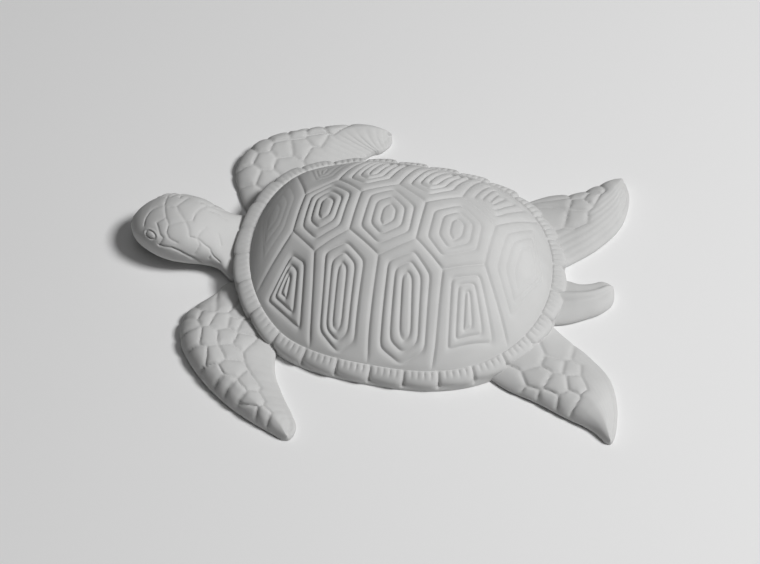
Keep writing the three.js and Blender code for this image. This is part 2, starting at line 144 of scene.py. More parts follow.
# Flippers and tail: paired edge stations from inside the shell to the tip, and heights at those stations
FRONT_LEFT = {
    "leading": (
        (-66, -22), (-89, -28), (-95.5, -40), (-106, -57), (-103.5, -75), (-89.6, -93), (-67.4, -109.8),
        (-42, -121), (-30.6, -123.6),
    ),
    "trailing": (
        (-40, -20), (-46, -40), (-50, -60), (-50.5, -72), (-47.8, -84), (-40, -97.5), (-32, -108.5),
        (-28, -116), (-30.6, -123.6),
    ),
    "lead_height": (5, 5, 7.5, 10.5, 12.5, 12.5, 11.5, 10, 8),
    "trail_height": (3.5, 3.5, 3.5, 4.5, 5, 5, 4.8, 4.8, 5),
    "crown": 1.2,
    "trail_round": 3.5,
    "scales": (
        (-99.9, -59.2), (-101.3, -65.9), (-95.0, -75.8), (-88.2, -87.4), (-77.9, -98.1), (-70.1, -102.3),
        (-93.6, -59.2), (-86.9, -49.0), (-83.9, -59.8), (-76.1, -59.4), (-88.0, -74.9), (-77.3, -71.0),
        (-69.2, -71.9), (-81.3, -86.5), (-73.0, -80.4), (-69.7, -92.1), (-63.9, -105.0), (-57.8, -97.5),
        (-53.6, -108.6), (-93.8, -50.6), (-53.6, -116.6), (-45.3, -117.3), (-75.6, -52.9),
    ),
    "web": (
        (-61.3, -74.8), (-55.5, -81.8), (-52.7, -92.1), (-45.2, -99.8), (-39.4, -109.2), (-33.2, -118.3),
        (-38.6, -118.2), (-71.1, -59.5),
    ),
    "ribs": "across",
    "rib_depth": 0.2,
    "stations": 150,
    "around": 84,
}
FRONT_RIGHT = {
    "leading": (
        (-66, 22), (-91, 23), (-101, 36.5), (-108.3, 54), (-104, 71), (-90, 83.6), (-68, 95.2),
        (-40, 103.4), (-25.8, 100.4),
    ),
    "trailing": (
        (-40, 18), (-44, 36), (-46, 52), (-43, 66), (-38.5, 77), (-33, 84.5), (-28.8, 87),
        (-25.2, 93), (-25.8, 100.4),
    ),
    "lead_height": (5, 5, 7.5, 10.5, 12.5, 12.5, 11.5, 10, 8),
    "trail_height": (3.5, 3.5, 3.5, 4.5, 5, 5, 4.8, 4.8, 5),
    "crown": 1.2,
    "trail_round": 3.5,
    "scales": (
        (-103.5, 60.2), (-95.7, 69.4), (-88.5, 78.5), (-78.2, 83.3), (-78.6, 89.5), (-68.1, 86.5),
        (-58.2, 92.9), (-97.4, 46.7), (-94.1, 34.7), (-91.6, 58.5), (-87.6, 45.7), (-84.0, 68.4),
        (-78.9, 58.2), (-73.6, 72.5), (-65.7, 81.7),
    ),
    "web": (
        (-62.9, 70.3), (-58.0, 79.7), (-51.2, 88.7), (-48.5, 77.7), (-42.6, 95.7), (-40.7, 82.8),
        (-34.5, 95.0), (-32.4, 85.6), (-28.5, 92.3),
    ),
    "ribs": "across",
    "rib_depth": 0.26,
    "stations": 150,
    "around": 84,
}
REAR_LEFT = {
    "leading": ((46, -46), (60, -58), (74, -66), (91, -71.2), (108, -77.6), (123, -82.4), (134, -88.3)),
    "trailing": ((66, -6), (82, -12), (98.5, -24.5), (115, -36), (128, -48.8), (135.2, -71), (134, -88.3)),
    "lead_height": (6, 6, 8.5, 11.5, 12, 10.5, 8),
    "trail_height": (4, 4, 4.5, 5, 5, 5, 5),
    "crown": 1.2,
    "trail_round": 3.5,
    "scales": (
        (97.4, -48.7), (89.6, -59.4), (101.1, -63.5), (106.6, -48.7), (110.9, -61.3), (108.0, -72.6),
        (97.4, -73.1), (99.2, -40.0), (76.7, -65.1), (83.7, -47.7), (87.3, -73.4),
    ),
    "web": (
        (116.3, -47.6), (118.9, -57.2), (120.7, -68.2), (127.2, -65.4), (126.6, -78.8), (131.2, -84.3),
        (111.3, -39.8), (117.0, -75.9),
    ),
    "ribs": "along",
    "rib_depth": 0.12,
    "stations": 110,
    "around": 76,
}
REAR_RIGHT = {
    "leading": ((46, 46), (57, 62.5), (72, 73.5), (88, 78.6), (100, 88), (107.5, 94), (112.8, 95.4)),
    "trailing": ((64, 6), (80, 15), (93.5, 27), (107, 42), (117.4, 62), (118, 86), (112.8, 95.4)),
    "lead_height": (6, 6, 8.5, 11.5, 11.5, 10, 8),
    "trail_height": (4, 4, 4.5, 5, 5, 5, 5),
    "crown": 1.2,
    "trail_round": 3.5,
    "scales": (
        (91.6, 65.8), (97.9, 72.8), (98.5, 80.1), (90.1, 74.9), (81.2, 65.8), (91.5, 55.7), (80.0, 56.2),
        (79.3, 73.3),
    ),
    "web": (
        (106.6, 84.9), (109.4, 77.6), (109.2, 68.2), (103.9, 57.6), (98.3, 46.3), (90.7, 40.8),
        (104.7, 71.0),
    ),
    "ribs": "along",
    "rib_depth": 0.4,
    "stations": 110,
    "around": 76,
}
TAIL = {
    "leading": ((70, -22), (84, -19), (98, -15.5), (108, -9.7), (116, -3.6), (121, 4.5), (119.5, 14.5)),
    "trailing": ((70, 15), (84, 15), (95, 13.5), (101, 12.5), (107, 14.3), (113, 17.3), (119.5, 14.5)),
    "lead_height": (7, 7, 8, 8.5, 8.5, 8, 7),
    "trail_height": (7, 7, 8, 8.5, 8.5, 8, 7),
    "crown": 2.0,
    "trail_round": 12.0,
    "scales": (),
    "web": (),
    "ribs": "none",
    "rib_depth": 0.0,
    "stations": 60,
    "around": 40,
}
EDGE_ROUND = 15.0
LEAD_PROFILE = ((0.0, 0.22), (0.05, 0.42), (0.18, 0.63), (0.42, 0.83), (0.7, 0.94), (1.0, 1.0))
TRAIL_PROFILE = ((1.0, 1.0), (0.3, 0.76), (0.0, 0.36))
SIDE_SHARE = 0.38
TUCK_SHARE = 0.08
SWELL_WIDTH = 20.0
FALL_POWER = 1.1
TIP_WIDTH = 26.0
TIP_THINNEST = 0.42
TIP_GAIN = 0.58
TIP_POWER = 0.6
TIP_CROWDING = 1.35
TIP_LOW = 0.1
SECTION_POINTS = 241
EDGE_UNDERCUT = 2.0
ACROSS = (0.16, 0.3, 0.45, 0.6, 0.78)
BELOW_GROUND = -2.0
TIP_SHARE = 0.998
SCALE_DEPTH = 1.45
SCALE_WIDTH = 0.62
SCALE_LINE_SHARE = 0.62
SCALE_PILLOW = 2.4
SCALE_PILLOW_SHARE = 0.38
LINE_WANDER = 0.4
WANDER_RATE = 4.0
LINE_LOWEST = 1.0
LINE_EASE = 4.5
WEB_EASE = 3.0
RIBS_ACROSS = (46.0, 7.0)
RIBS_ALONG = (24.0, 3.0)
RIB_FROM = 0.35
RIB_EASE = 4.0

# Head and neck
HEAD_STATIONS = (-66, -80, -88, -92, -96, -101, -107, -114, -122, -129, -135, -140.5, -145, -148.5, -151)
HEAD_MIDDLE_Y = (-4, -5.6, -6.2, -5.8, -5.7, -5.8, -6, -6.3, -6.6, -6.6, -6.6, -6.6, -6.4, -6, -5.6)
HEAD_HALF_WIDTH = (19, 23.5, 22.8, 20.7, 18.4, 17.8, 18.6, 20.1, 20.8, 20, 18, 15.2, 12, 8.2, 4)
HEAD_TOP = (8, 9.5, 12, 14.8, 18, 21.6, 25, 27.6, 28.6, 28.4, 27, 24.6, 21.6, 18.4, 15)
HEAD_MIDDLE_Z = (5, 6, 7, 8, 9.5, 11.2, 13, 14.5, 15.6, 16, 16, 15.6, 14.6, 13, 11)
HEAD_BOTTOM = (-4, -4, -4, -3.5, -2.5, -1.5, -0.5, 0.2, 0.6, 1, 1.6, 2.4, 3.4, 5, 7)
HEAD_ROUND = 0.86
HEAD_ROWS = 150
HEAD_ABOVE = 86
HEAD_BELOW = 34
HEAD_PLANE_Y = -6.6
HIDDEN_SIDE_Y = 4.5
HEAD_LINES = (
    ((-133.2, 5.7, 25.4), (-132.6, -1.5, 27.4), (-131.1, -6.6, 28.1), (-128.3, -12, 28.2),
     (-125.9, -15.8, 27.8)),
    ((-140.5, -16.1, 23.1), (-141, -11.7, 24), (-140.1, -8.2, 24.8), (-138.7, -5.7, 25.5), (-135.7, -4, 26.7),
     (-132.1, -3, 27.7), (-128.3, -3.6, 28.4), (-125.2, -2.7, 28.5), (-123.4, 1.2, 28.1),
     (-121.4, 6.5, 26.4)),
    ((-125.2, -2.7, 28.5), (-122.7, -6.6, 28.6), (-119.3, -9.6, 28.3), (-117.2, -12, 27.9)),
    ((-125.9, -16.4, 27.6), (-122.7, -14.5, 28), (-117.2, -11.2, 28), (-113.7, -10.1, 27.4),
     (-113.7, -5.1, 27.5), (-112.4, -0.2, 26.8), (-110.5, 3.7, 25.3)),
    ((-108.7, -19, 23.2), (-107.5, -13.7, 24.5), (-105.8, -10.9, 24.2)),
    ((-106.9, 1.7, 24.3), (-104.7, 2.8, 22.9), (-101.1, 3.3, 20.7), (-98.4, 1.7, 19.4)),
    ((-98.8, -10.6, 20), (-97.5, -13.2, 18.9), (-95.8, -15.7, 17.4)),
)
SIDE_LINES = (
    ((-125.9, -15.8, 27.8), (-125.9, -20.6, 26.1), (-124, -23.1, 24.5), (-121.4, -24, 23.7),
     (-118.6, -24.2, 23.1)),
    ((-117.2, -12, 27.9), (-114.3, -16, 26.6), (-113, -19.8, 24.7), (-108.7, -19, 23.2)),
    ((-129.4, -22, 24.7), (-131.6, -18.2, 26.2), (-133.2, -15.6, 26.6), (-131.6, -13.9, 27.4),
     (-129.4, -12, 28.1)),
    ((-129.4, -22, 24.7), (-127.1, -23.3, 24.2), (-127.7, -24.9, 22.4), (-128.3, -25.4, 21.6)),
    ((-108.7, -19, 23.2), (-106.9, -20.8, 21.1), (-107.5, -23.2, 18.9), (-109.3, -24.8, 16.9)),
    ((-108.1, -18.9, 23), (-104.7, -20, 20.4), (-101.6, -20.4, 18.3), (-100.6, -21.9, 16.3),
     (-101.6, -23.5, 13.4)),
    ((-101.1, -21.3, 17.2), (-98.8, -22.6, 14.5), (-95.5, -23.8, 12)),
)
MOUTH_LINE = (
    (-128.9, -25.9, 20.3), (-121.4, -26.4, 20.5), (-117.2, -26.4, 19), (-114.3, -26.3, 17.1),
    (-109.9, -25.4, 13.7), (-105.8, -24.1, 9.6),
)
LINE_DEPTH = 0.8
LINE_WIDTH = 0.42
LINE_SHARE = 0.7
LINE_PILLOW = 2.0
LINE_PILLOW_SHARE = 0.3
MOUTH_DEPTH = 0.95
MOUTH_WIDTH = 0.6
EYE = (-134.8, -21.6, 22.8)
EYE_AXIS = (0.92, -0.39, -0.02)
EYE_LENGTH = 3.2
EYE_HEIGHT = 1.75
EYE_RISE = 0.75
SOCKET_DEPTH = 0.5
SOCKET_AT = 1.12
SOCKET_WIDTH = 0.18
LID_RISE = 0.45
LID_AT = 1.5
LID_WIDTH = 0.26
SNOUT_TIP = 1.0

# Joining, in metres and degrees
MERGE_GAP = 0.000002
SMOOTH_ANGLE = 60.0
GROUND_SIZE = (0.6, 0.6, 0.1)

# Bisque surface
BISQUE_DARK = (0.53, 0.53, 0.525, 1.0)
BISQUE_PALE = (0.6, 0.6, 0.595, 1.0)
CLOUD_SCALE = 28.0
GRAIN_SCALE = 1500.0
ROUGHNESS = (0.78, 0.92)
GRAIN_STRENGTH = 0.12
GRAIN_HEIGHT = 0.0002
GLOSS = 0.25

# Floor and light, in metres and watts
FLOOR_SIZE = 8.0
FLOOR_DROP = 0.0002
FLOOR_TONE = (0.82, 0.82, 0.82, 1.0)
FLOOR_ROUGHNESS = 0.9
WORLD_STRENGTH = 0.03
LIGHT_AIM = (0.0, 0.0, 0.0)
KEY_PLACE = (1.54, 0.0, 1.97)
KEY_SIZE = 0.6
KEY_POWER = 55.0
OVERHEAD_PLACE = (0.0, 0.0, 2.4)
OVERHEAD_SIZE = 1.8
OVERHEAD_POWER = 6.0

# Camera, fitted to the photograph
CAMERA_AZIMUTH = 13.0
CAMERA_ELEVATION = 50.5
CAMERA_DISTANCE = 1.1
CAMERA_LENS = 36.0 * 2000.0 / 760.0
AIM = ((SHELL_X - 5.746) / 1000.0, (SHELL_Y - 16.738) / 1000.0, CREASE_HEIGHT / 1000.0)


def spline(points, shares):
    """Points on the smooth curve through the given points, evenly shared between them."""
    points = np.asarray(points, float)
    first = 2.0 * points[0] - points[1]
    last = 2.0 * points[-1] - points[-2]
    padded = np.vstack([first, points, last])
    place = np.clip(np.asarray(shares, float), 0.0, 1.0) * (len(points) - 1)
    index = np.minimum(place.astype(int), len(points) - 2)
    weight = (place - index)[:, None]
    p0, p1, p2, p3 = (padded[index + k] for k in range(4))
    step0 = np.maximum(np.linalg.norm(p1 - p0, axis=1, keepdims=True), 1e-9) ** 0.5
    step1 = np.maximum(np.linalg.norm(p2 - p1, axis=1, keepdims=True), 1e-9) ** 0.5
    step2 = np.maximum(np.linalg.norm(p3 - p2, axis=1, keepdims=True), 1e-9) ** 0.5
    start = ((p1 - p0) / step0 - (p2 - p0) / (step0 + step1) + (p2 - p1) / step1) * step1
    end = ((p2 - p1) / step1 - (p3 - p1) / (step1 + step2) + (p3 - p2) / step2) * step1
    square = -3.0 * p1 + 3.0 * p2 - 2.0 * start - end
    cube = 2.0 * p1 - 2.0 * p2 + start + end
    return p1 + weight * (start + weight * (square + weight * cube))


def curve_values(values, shares):
    """One number along a form, read smoothly from its values at even stations."""
    places = np.arange(len(values), dtype=float)
    return spline(np.column_stack([places * 4.0, values]), shares)[:, 1]


def ripple(x, y, seed):
    """A gentle uneven wave between about -1 and 1, as left by hand work."""
    return (
        np.sin(0.071 * x + 0.043 * y + 1.7 * seed)
        + np.sin(-0.058 * x + 0.083 * y + 2.9 * seed)
        + np.sin(0.127 * x + 0.101 * y + 4.1 * seed) * 0.6
    ) / 2.2


class Surface:
    """Points and faces of one closed form, in millimetres."""

    def __init__(self):
        self.points = []
        self.faces = []
        self.count = 0

    def add(self, points):
        points = np.asarray(points, float).reshape(-1, 3)
        start = self.count
        self.points.append(points)
        self.count += len(points)
        return np.arange(start, self.count)

    def band(self, first, second):
        after_first = np.roll(first, -1)
        after_second = np.roll(second, -1)
        self.faces.extend(np.column_stack([first, after_first, after_second, second]).tolist())

    def fan(self, loop, centre):
        after = np.roll(loop, -1)
        self.faces.extend(np.column_stack([loop, after, np.full(len(loop), centre)]).tolist())

    def build(self, name):
        points = np.vstack(self.points)
        points = (points + np.array([SHELL_X, SHELL_Y, 0.0])) / 1000.0
        mesh = bpy.data.meshes.new(name)
        mesh.from_pydata(points.tolist(), [], self.faces)
        made = bpy.data.objects.new(name, mesh)
        bpy.context.scene.collection.objects.link(made)
        return made


# Shell dome and plates
def dome_length(x):
    return np.where(x < 0.0, DOME_FRONT, DOME_REAR)


def dome_power(x):
    return np.where(x < 0.0, DOME_FRONT_POWER, DOME_REAR_POWER)


def dome_points(x, y, depth):
    share = np.abs(x / dome_length(x))
    power = dome_power(x)
    height = DOME_RISE * dome_share(x, y)
    slope_x = DOME_RISE * power * share ** (power - 1.0) * np.sign(x) / dome_length(x)
    slope_y = 2.0 * DOME_RISE * y / DOME_HALF_WIDTH ** 2
    normal = np.column_stack([slope_x, slope_y, np.ones_like(x)])
    normal /= np.linalg.norm(normal, axis=1, keepdims=True)
    height = CREASE_HEIGHT + height + front_lift(x)
    return np.column_stack([x, y, height]) - normal * np.asarray(depth)[:, None]


def dome_share(x, y):
    """Height above the crease as a share of the dome's rise."""
    return 1.0 - np.abs(x / dome_length(x)) ** dome_power(x) - (y / DOME_HALF_WIDTH) ** 2


def sharpness(x, y):
    """How much of the carving shows: less at the worn front of the shell and along the crease."""
    worn = 1.0 - WORN_FRONT * smooth_step((WORN_FROM - x) / WORN_RUN)
    return worn * (CREASE_SHARPNESS + CREASE_GAIN * smooth_step(dome_share(x, y) * CREASE_EASE))


def front_lift(x):
    """How far the shell is raised over the neck."""
    return FRONT_LIFT * smooth_step((x - LIFT_FROM) / (LIFT_TO - LIFT_FROM))


def crease_y(x, side):
    inside = 1.0 - np.abs(x / dome_length(x)) ** dome_power(x)
    return side * DOME_HALF_WIDTH * np.sqrt(np.maximum(inside, 0.0))


def crease_x(y, end):
    inside = np.maximum(1.0 - (y / DOME_HALF_WIDTH) ** 2, 0.0)
    return end * float(dome_length(np.float64(end))) * inside ** (1.0 / float(dome_power(np.float64(end))))


def wobbled(x, y):
    """Moves the plate lines a little off true, and not at all on the crease."""
    hold = np.clip(dome_share(x, y) * WOBBLE_EASE, 0.0, 1.0)
    return x + WOBBLE * hold * ripple(x, y, 1.0), y + WOBBLE * hold * ripple(y, x, 2.0)


def plate_border(corners):
    """Border, first ring and core of a plate, point by point round it."""
    rows = []
    for i, (start, edge, ring, core) in enumerate(corners):
        end, _, next_ring, next_core = corners[(i + 1) % len(corners)]
        steps = max(4, round(math.dist(start, end) / PLATE_STEP))
        share = (np.arange(steps) / steps)[:, None]
        border = np.array(start) + (np.array(end) - start) * share
        if edge == "side":
            border[:, 1] = crease_y(border[:, 0], np.sign(start[1] + end[1]))
        elif edge == "end":
            border[:, 0] = crease_x(border[:, 1], np.sign(start[0] + end[0]))
        first = np.array(ring) + (np.array(next_ring) - ring) * share
        inner = np.array(core) + (np.array(next_core) - core) * share
        rows.append(np.hstack([border, first, (first + inner) / 2.0, inner]))
    return np.vstack(rows)


def rounded(loop, amount):
    """Softens the corners of a closed line by averaging each point with its neighbours."""
    reach = np.arange(-ROUNDING_REACH, ROUNDING_REACH + 1)
    weights = np.exp(-0.5 * (reach / amount) ** 2)
    weights /= weights.sum()
    return sum(weight * np.roll(loop, shift, axis=0) for weight, shift in zip(weights, reach))


def distance_to_loops(points, loops):
    best = np.full(len(points), 1e9)
    for loop in loops:
        run = np.roll(loop, -1, axis=0) - loop
        offset = points[:, None, :] - loop[None, :, :]
        share = (offset * run).sum(axis=2) / np.maximum((run * run).sum(axis=1), 1e-9)
        gap = offset - np.clip(share, 0.0, 1.0)[:, :, None] * run
        best = np.minimum(best, np.sqrt((gap * gap).sum(axis=2)).min(axis=1))
    return best


def add_plate(surface, corners, crispness, crease):
    rings = plate_border(corners)
    edge = rings[:, :2]
    lines = [edge] + [rounded(rings[:, 2 * k:2 * k + 2], CORNER_ROUNDING[k]) for k in (1, 2, 3)]
    focus = lines[3].mean(axis=0)
    flats = []
    for start, end in zip(lines, lines[1:]):
        for k in range(STEPS_PER_BAND):
            share = 0.5 - 0.5 * math.cos(math.pi * k / STEPS_PER_BAND)
            flats.append(start + (end - start) * share)
    flats.append(lines[3])
    flats.extend(lines[3] + (focus - lines[3]) * share for share in CORE_STEPS)
    flats.append(np.repeat(focus[None, :], len(edge), axis=0))
    flat = np.vstack(flats)
    to_edge = distance_to_loops(flat, lines[:1])
    to_ring = distance_to_loops(flat, lines[1:])
    depth = np.maximum(carved(to_edge), crispness * carved(to_ring))
    x, y = wobbled(flat[:, 0], flat[:, 1])
    uneven = 1.0 + UNEVEN_DEPTH * ripple(x * UNEVEN_RATE, y * UNEVEN_RATE, 3.0)
    depth = depth * uneven * sharpness(x, y)
    points = dome_points(x, y, GROOVE_DEPTH * depth).reshape(len(flats), len(edge), 3)
    loops = [surface.add(row) for row in points[:-1]]
    for outer, inner in zip(loops, loops[1:]):
        surface.band(outer, inner)
    surface.fan(loops[-1], surface.add(points[-1, 0])[0])
    crease.extend(loops[0][np.abs(dome_share(edge[:, 0], edge[:, 1])) < 1e-9].tolist())


def carved(distance):
    """Share of the full depth at a distance from a carved line, with the band between lines left rounded."""
    return GROOVE_SHARE * bell(distance, GROOVE_WIDTH) + PILLOW_SHARE * bell(distance, PILLOW_WIDTH)


def with_rings(outline, edges, ring, core):
    return list(zip(outline, edges, ring, core))


def middle_plates():
    x = SPINE_STATIONS
    for i in range(3):
        before, widest, after = x[2 * i:2 * i + 3]
        outline = [
            (before, -SPINE_NARROW), (widest, -SPINE_WIDE), (after, -SPINE_NARROW),
            (after, SPINE_NARROW), (widest, SPINE_WIDE), (before, SPINE_NARROW),
        ]
        yield with_rings(outline, ["seam"] * 6, MIDDLE_RINGS[i], MIDDLE_CORES[i]), MIDDLE_CRISPNESS[i]
    edges = ["seam", "end", "end", "seam", "seam"]
    front_y = float(crease_y(np.float64(FRONT_PLATE_CREASE), 1.0))
    outline = [
        (x[0], SPINE_NARROW), (FRONT_PLATE_CREASE, front_y), (-DOME_FRONT, 0.0),
        (FRONT_PLATE_CREASE, -front_y), (x[0], -SPINE_NARROW),
    ]
    yield with_rings(outline, edges, FRONT_RING, FRONT_CORE), FRONT_CRISPNESS
    rear_y = float(crease_y(np.float64(REAR_PLATE_CREASE), 1.0))
    outline = [
        (x[-1], -SPINE_NARROW), (REAR_PLATE_CREASE, -rear_y), (DOME_REAR, 0.0),
        (REAR_PLATE_CREASE, rear_y), (x[-1], SPINE_NARROW),
    ]
    yield with_rings(outline, edges, REAR_RING, REAR_CORE), REAR_CRISPNESS


def side_plates():
    x = SPINE_STATIONS
    seams = (FRONT_PLATE_CREASE,) + SIDE_SEAMS + (REAR_PLATE_CREASE,)
    uppers = (
        ((x[0], SPINE_NARROW), (x[1], SPINE_WIDE)),
        ((x[1], SPINE_WIDE), (x[2], SPINE_NARROW), (x[3], SPINE_WIDE)),
        ((x[3], SPINE_WIDE), (x[4], SPINE_NARROW), (x[5], SPINE_WIDE)),
        ((x[5], SPINE_WIDE), (x[6], SPINE_NARROW)),
    )
    for i, upper in enumerate(uppers):
        lower = [seams[i + 1], seams[i]]
        if len(upper) == 3:
            lower.insert(1, (seams[i] + seams[i + 1]) / 2.0)
        outline = list(upper) + [(cx, float(crease_y(np.float64(cx), 1.0))) for cx in lower]
        edges = ["seam"] * len(upper) + ["side"] * (len(lower) - 1) + ["seam"]
        corners = with_rings(outline, edges, SIDE_RINGS[i], SIDE_CORES[i])
        yield corners, FAR_FRONT_CRISPNESS if i == 0 else SIDE_CRISPNESS[i]
        turned = []
        for k in range(len(corners)):
            border, _, ring, core = corners[-1 - k]
            edge = edges[-2 - k] if k < len(corners) - 1 else edges[-1]
            turned.append(((border[0], -border[1]), edge, (ring[0], -ring[1]), (core[0], -core[1])))
        yield turned, SIDE_CRISPNESS[i]


# Margin
def crease_stations(count):
    """Evenly spaced points on the crease, from the middle of the rear, and the way outwards at each."""
    angle = np.linspace(0.0, 2.0 * math.pi, CREASE_POINTS)
    cosine = np.cos(angle)
    x = np.sign(cosine) * np.abs(cosine) ** (2.0 / dome_power(cosine)) * dome_length(cosine)
    y = DOME_HALF_WIDTH * np.sin(angle)
    length = np.concatenate([[0.0], np.cumsum(np.hypot(np.diff(x), np.diff(y)))])
    wanted = np.arange(count) / count * length[-1]
    px = np.interp(wanted, length, x)
    py = np.interp(wanted, length, y)
    after = (wanted + CREASE_PROBE) % length[-1]
    before = (wanted - CREASE_PROBE) % length[-1]
    run_x = np.interp(after, length, x) - np.interp(before, length, x)
    run_y = np.interp(after, length, y) - np.interp(before, length, y)
    run = np.hypot(run_x, run_y)
    return px, py, run_y / run, -run_x / run, length[-1]


def bell(distance, width):
    return np.exp(-((distance / width) ** 2))


def smooth_step(value):
    held = np.clip(value, 0.0, 1.0)
    return held * held * (3.0 - 2.0 * held)


def add_margin(surface, crease):
    stations = MARGIN_COUNT * MARGIN_STEPS
    px, py, out_x, out_y, around = crease_stations(stations)
    turn = np.arange(stations)
    within = (turn % MARGIN_STEPS) / MARGIN_STEPS
    along = np.where(turn < stations // 2, 1.0 - within, within)
    span = around / MARGIN_COUNT
    seam = np.minimum(within, 1.0 - within) * span
    ticks = np.min([np.abs(along - place) * span for place in TICK_PLACES], axis=0)
    rear_corner = np.clip((along - REAR_CORNER_FROM) / REAR_CORNER_RUN, 0.0, 1.0) ** REAR_CORNER_POWER
    step_in = (1.0 - along) ** FRONT_CORNER_POWER + REAR_CORNER * rear_corner
    to_front = 1.0 - np.abs(1.0 - 2.0 * turn / stations)
    width = curve_values(MARGIN_WIDTHS, to_front)
    droop = curve_values(MARGIN_DROOP, to_front)
    stepped = curve_values(MARGIN_STEPPED, to_front)
    step_in = step_in * stepped
    rows = np.linspace(0.0, 1.0, MARGIN_ROWS)
    profile = spline(MARGIN_PROFILE, rows)
    slope = np.gradient(profile, axis=0)
    slope /= np.linalg.norm(slope, axis=1, keepdims=True)
    loops = []
    for row, (out, height) in enumerate(profile):
        on_top = float(smooth_step((height - WALL_LOW) / WALL_EASE))
        reach = min(1.0, out / MARGIN_REACH)
        tick_fade = float(smooth_step(out - TICK_INNER) * smooth_step((TICK_OUTER - out) / TICK_EASE))
        tick_fade = tick_fade * (height > TICK_LOWEST)
        seam_fade = on_top * float(smooth_step(out / SEAM_EASE))
        cut = SEAM_DEPTH * seam_fade * bell(seam, SEAM_WIDTH)
        cut = cut + TICK_DEPTH * tick_fade * bell(ticks, TICK_WIDTH)
        cut = cut * (FRONT_CUT + FRONT_CUT_GAIN * stepped)
        far = out * width - MARGIN_STEP_IN * on_top * reach * step_in + slope[row, 1] * cut
        rise = MARGIN_LIFT * (along - LIFT_PIVOT) - droop
        low = height - slope[row, 0] * cut + on_top * (reach * rise + front_lift(px))
        loops.append(surface.add(np.column_stack([px + out_x * far, py + out_y * far, low])))
    zip_loops(surface, loops[0], crease)
    for row in range(1, len(loops)):
        surface.band(loops[row], loops[row - 1])
    centre = surface.add([0.0, 0.0, BELOW_GROUND])
    surface.fan(loops[-1][::-1], centre[0])


def zip_loops(surface, outer, crease):
    """Joins the margin's first loop to the points of the plates on the crease."""
    points = np.vstack(surface.points)
    turns = np.arctan2(points[crease, 1], points[crease, 0]) % (2.0 * math.pi)
    turns = np.where(turns > 2.0 * math.pi - 1e-6, 0.0, turns)
    keep = []
    for index in np.argsort(turns, kind="stable"):
        if not keep or turns[index] - turns[keep[-1]] > 1e-6:
            keep.append(index)
    inner = [crease[index] for index in keep]
    inner_turns = [turns[index] for index in keep] + [turns[keep[0]] + 2.0 * math.pi]
    outer_turns = (np.arctan2(points[outer, 1], points[outer, 0]) % (2.0 * math.pi)).tolist()
    outer_turns.append(outer_turns[0] + 2.0 * math.pi)
    i = 0
    j = 0
    while i < len(outer) or j < len(inner):
        a = int(outer[i % len(outer)])
        b = inner[j % len(inner)]
        if j == len(inner) or (i < len(outer) and outer_turns[i + 1] <= inner_turns[j + 1]):
            surface.faces.append([a, int(outer[(i + 1) % len(outer)]), b])
            i += 1
        else:
            surface.faces.append([a, inner[(j + 1) % len(inner)], b])
            j += 1


def make_shell():
    surface = Surface()
    crease = []
    for corners, crispness in middle_plates():
        add_plate(surface, corners, crispness, crease)
    for corners, crispness in side_plates():
        add_plate(surface, corners, crispness, crease)
    add_margin(surface, crease)
    return surface.build("shell")


# Flippers and tail
def grid_normals(grid, closed):
    """Outward directions of a grid of points, rows along the form and columns round it."""
    along = np.gradient(grid, axis=0)
    if closed:
        padded = np.concatenate([grid[:, -1:], grid, grid[:, :1]], axis=1)
        around = (padded[:, 2:] - padded[:, :-2]) / 2.0
    else:
        around = np.gradient(grid, axis=1)
    normal = np.cross(along, around)
    return normal / np.maximum(np.linalg.norm(normal, axis=2, keepdims=True), 1e-9)


def scale_relief(flat, scales, web):
    """How deep the lines between scales are at each point: lines run between a scale and any neighbour."""
    seeds = np.array(scales + web, float)
    is_scale = np.arange(len(seeds)) < len(scales)
    gap = ((flat[:, None, :] - seeds[None, :, :]) ** 2).sum(axis=2)
    nearest = gap.argmin(axis=1)
    own = gap[np.arange(len(flat)), nearest]
    apart = np.linalg.norm(seeds[nearest][:, None, :] - seeds[None, :, :], axis=2)
    edge = (gap - own[:, None]) / (2.0 * np.maximum(apart, 1e-6))
    counts = is_scale[nearest][:, None] | is_scale[None, :]
    edge = np.where(counts & (apart > 1e-6), edge, 99.0)
    distance = edge.min(axis=1)
    on_scale = is_scale[nearest]
    return distance, on_scale


def section_controls(width, lead, trail, crown, trail_round):
    """Outline of a flipper across its width, from under its leading edge over to its trailing edge."""
    lead_round = min(EDGE_ROUND, width * SIDE_SHARE)
    trail_round = min(trail_round, width * SIDE_SHARE)
    tuck = min(EDGE_UNDERCUT, width * TUCK_SHARE)
    swell = crown * min(1.0, width / SWELL_WIDTH)
    narrow = min(1.0, width / TIP_WIDTH)
    tip_fall = TIP_THINNEST + TIP_GAIN * narrow ** TIP_POWER
    lead = lead * tip_fall
    trail = trail * tip_fall
    controls = [(tuck, BELOW_GROUND)]
    controls.extend((lead_round * inside, lead * height) for inside, height in LEAD_PROFILE)
    for across in ACROSS:
        inside = lead_round + (width - lead_round - trail_round) * across
        height = lead + (trail - lead) * across ** FALL_POWER + swell * (1.0 - (2.0 * across - 1.0) ** 2)
        controls.append((inside, height))
    controls.extend((width - trail_round * inside, trail * height) for inside, height in TRAIL_PROFILE)
    controls.append((width - tuck, BELOW_GROUND))
    return np.array(controls)


